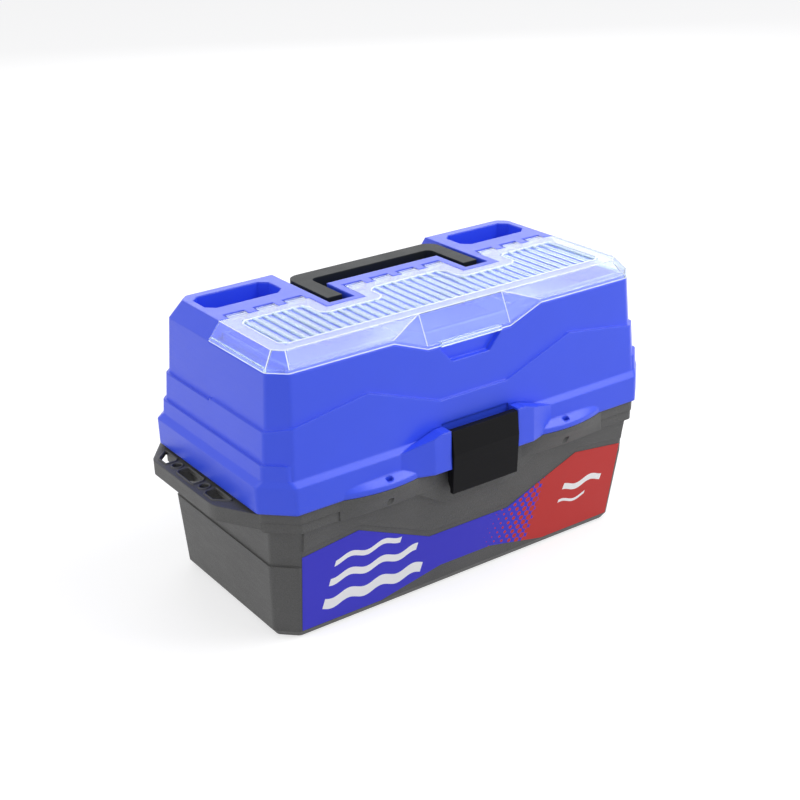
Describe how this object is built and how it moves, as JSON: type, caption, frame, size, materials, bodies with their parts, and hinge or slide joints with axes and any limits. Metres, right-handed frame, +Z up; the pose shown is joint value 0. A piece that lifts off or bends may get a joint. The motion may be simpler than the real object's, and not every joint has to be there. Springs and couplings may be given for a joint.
{
  "type": "tackle box",
  "caption": "Moulded tackle box with a hinged lid, clear organiser cover, front latch, folding handle, end tool racks and cantilever trays that rise as the lid opens.",
  "frame": {"origin": "centre of the box's outline in plan, on the plane it stands on", "axes": "+X along the box to the right seen from the front, front faces -Y, +Z up"},
  "size_m": [0.414, 0.228, 0.2445],
  "materials": {
    "base_plastic": "fine-grained dark grey",
    "label_print": "printed sheet, blue with a red end",
    "lid_plastic": "satin bright blue",
    "clear_plastic": "clear, polished",
    "latch_plastic": "satin black",
    "handle_plastic": "satin dark grey",
    "divider_plastic": "pale grey",
    "tray_plastic": "mid grey",
    "arm_plastic": "dark grey",
    "pin_steel": "drawn steel"
  },
  "bodies": {
    "base": {"base_tub": "base_plastic", "front_label": "label_print", "hinge_pin_left": "pin_steel", "hinge_pin_right": "pin_steel", "arm_base_pins": "pin_steel"},
    "lid": {"lid_shell": "lid_plastic", "organiser_dividers": "divider_plastic", "cover_pin_left": "pin_steel", "cover_pin_middle": "pin_steel", "cover_pin_right": "pin_steel", "latch_pin": "pin_steel", "handle_pin_left": "pin_steel", "handle_pin_right": "pin_steel", "guide_plate_left": "arm_plastic", "guide_plate_right": "arm_plastic"},
    "cover": {"clear_cover": "clear_plastic"},
    "latch": {"front_latch": "latch_plastic"},
    "handle": {"carry_handle": "handle_plastic"},
    "front_arms": {"front_arm_left": "arm_plastic", "front_arm_right": "arm_plastic"},
    "rear_arms": {"rear_arm_left": "arm_plastic", "rear_arm_right": "arm_plastic"},
    "tray_lower": {"tray_lower": "tray_plastic", "tray_lower_dividers": "divider_plastic", "tray_lower_pins": "pin_steel"},
    "tray_middle": {"tray_middle": "tray_plastic", "tray_middle_dividers": "divider_plastic", "tray_middle_pins": "pin_steel"},
    "tray_upper": {"tray_upper": "tray_plastic", "tray_upper_dividers": "divider_plastic", "tray_upper_pins": "pin_steel"}
  },
  "joints": [
    {"name": "lid_hinge", "type": "hinge", "parent": "base", "child": "lid", "pos_m": [0, 0.1095, 0.1212], "axis": [-1, 0, 0], "range_deg": [0, 100]},
    {"name": "cover_hinge", "type": "hinge", "parent": "lid", "child": "cover", "pos_m": [0, 0.008, 0.2415], "axis": [-1, 0, 0], "range_deg": [0, 110]},
    {"name": "handle_fold", "type": "hinge", "parent": "lid", "child": "handle", "pos_m": [0, -0.007, 0.234], "axis": [1, 0, 0], "range_deg": [0, 90]},
    {"name": "latch_hinge", "type": "hinge", "parent": "lid", "child": "latch", "pos_m": [0, -0.1065, 0.146], "axis": [-1, 0, 0], "range_deg": [0, 100]},
    {"name": "front_arms_pivot", "type": "hinge", "parent": "base", "child": "front_arms", "pos_m": [0, 0.02, 0.09516], "axis": [-1, 0, 0], "range_deg": [0, 78]},
    {"name": "rear_arms_pivot", "type": "hinge", "parent": "base", "child": "rear_arms", "pos_m": [0, 0.06, 0.09516], "axis": [-1, 0, 0], "range_deg": [0, 78]},
    {"name": "tray_lower_pivot", "type": "hinge", "parent": "rear_arms", "child": "tray_lower", "pos_m": [0, 0.03842, 0.116], "axis": [-1, 0, 0], "range_deg": [-78, 0]},
    {"name": "tray_middle_pivot", "type": "hinge", "parent": "rear_arms", "child": "tray_middle", "pos_m": [0, 0.00182, 0.15133], "axis": [-1, 0, 0], "range_deg": [-78, 0]},
    {"name": "tray_upper_pivot", "type": "hinge", "parent": "rear_arms", "child": "tray_upper", "pos_m": [0, -0.03478, 0.18667], "axis": [-1, 0, 0], "range_deg": [-78, 0]}
  ],
  "couplings": [
    {"joint": "front_arms_pivot", "follows": "lid_hinge", "ratio": 0.78},
    {"joint": "rear_arms_pivot", "follows": "lid_hinge", "ratio": 0.78},
    {"joint": "tray_lower_pivot", "follows": "lid_hinge", "ratio": -0.78},
    {"joint": "tray_middle_pivot", "follows": "lid_hinge", "ratio": -0.78},
    {"joint": "tray_upper_pivot", "follows": "lid_hinge", "ratio": -0.78}
  ]
}
